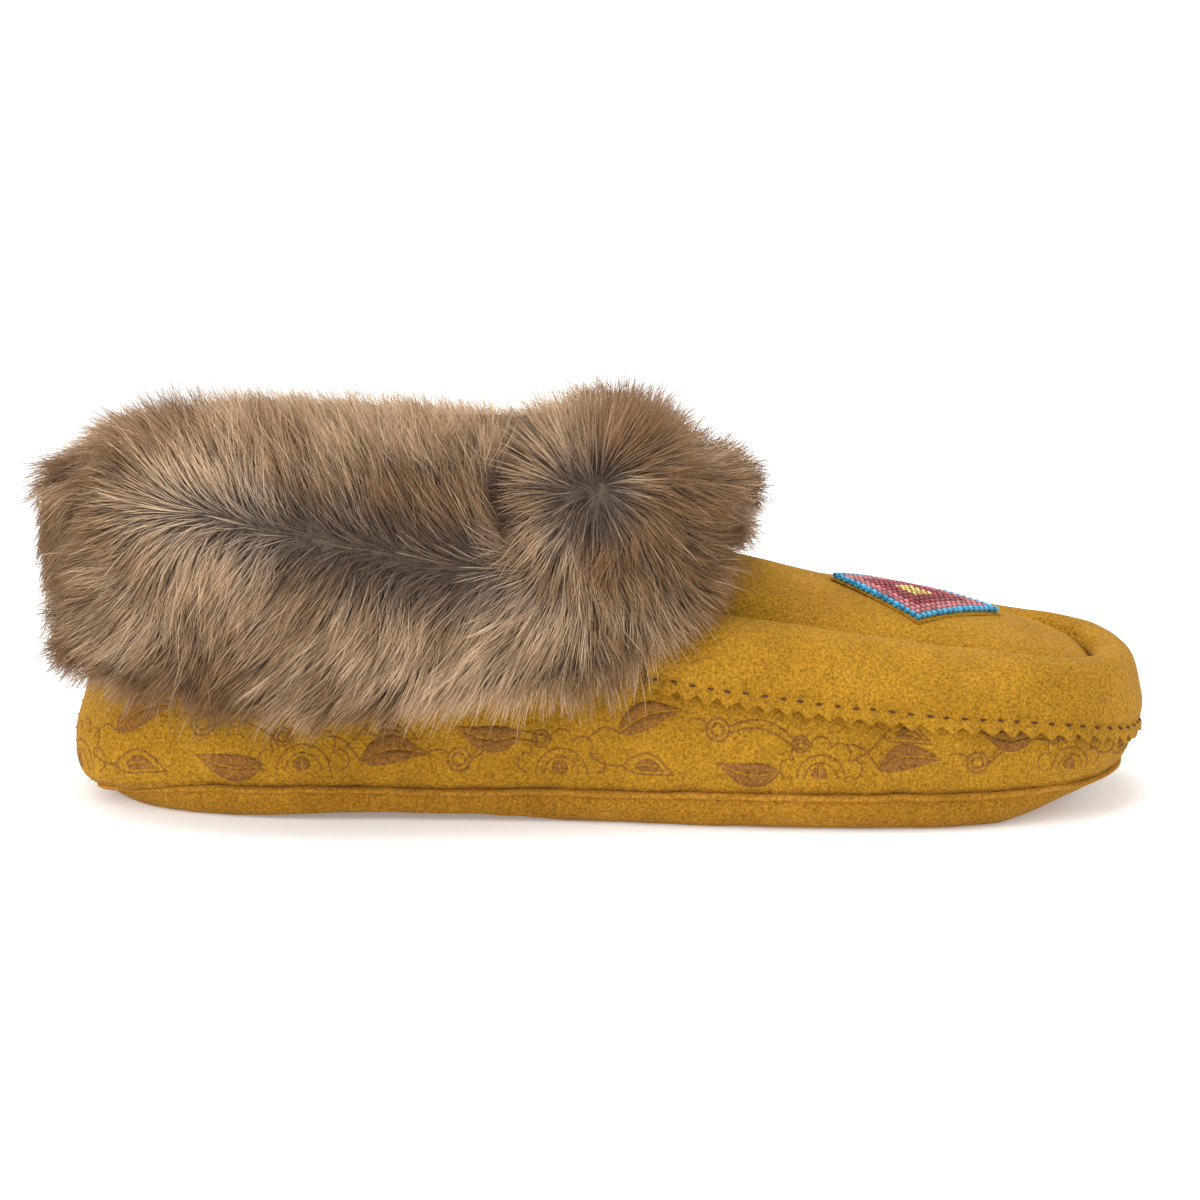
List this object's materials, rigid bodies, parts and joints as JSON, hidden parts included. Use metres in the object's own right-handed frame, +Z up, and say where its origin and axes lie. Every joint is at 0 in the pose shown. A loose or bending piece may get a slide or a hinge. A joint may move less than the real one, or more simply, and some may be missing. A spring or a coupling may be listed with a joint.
{
  "type": "moccasin slipper",
  "caption": "Mustard suede moccasin slipper with a padded toe roll, a beaded diamond on the vamp and a deep brown fur cuff.",
  "frame": {"origin": "on the floor under the middle of the slipper's bounding box", "axes": "+X to the toe, +Y to the outer (little toe) side, +Z up"},
  "size_m": [0.2754, 0.1136, 0.0982],
  "materials": {
    "suede": "napped suede",
    "sole_suede": "napped suede",
    "welt_edge": "raw cut edge",
    "thread_brown": "waxed thread",
    "thread_white": "fine thread",
    "foam": "soft foam",
    "board": "fibre board",
    "fleece": "deep pile",
    "pelt": "tanned skin",
    "fur": "long pile",
    "bead_blue": "gloss",
    "bead_pink": "gloss",
    "bead_maroon": "gloss",
    "bead_gold": "metallic lustre"
  },
  "bodies": {
    "root": {"outsole": "sole_suede", "midsole_foam": "foam", "sole_welt": "welt_edge", "sole_seam_thread": "thread_brown", "insole_board": "board", "footbed_foam": "foam", "footbed_fleece": "fleece", "side_wall": "suede", "heel_seam_thread": "thread_brown", "heel_counter": "board", "lining_sides": "fleece", "toe_roll": "suede", "toe_roll_padding": "foam", "vamp_plug": "suede", "lining_vamp": "fleece", "plug_seam_thread": "thread_brown", "apron_stitches": "thread_brown", "bead_backing": "fleece", "bead_threads": "thread_white", "beads_blue": "bead_blue", "beads_pink": "bead_pink", "beads_maroon": "bead_maroon", "beads_gold": "bead_gold", "cuff_pelt_near": "pelt", "cuff_pelt_far": "pelt", "fur_heel_near": "fur", "fur_heel_far": "fur", "fur_side_near": "fur", "fur_side_far": "fur", "fur_lobe_near": "fur", "fur_lobe_far": "fur"}
  },
  "joints": []
}
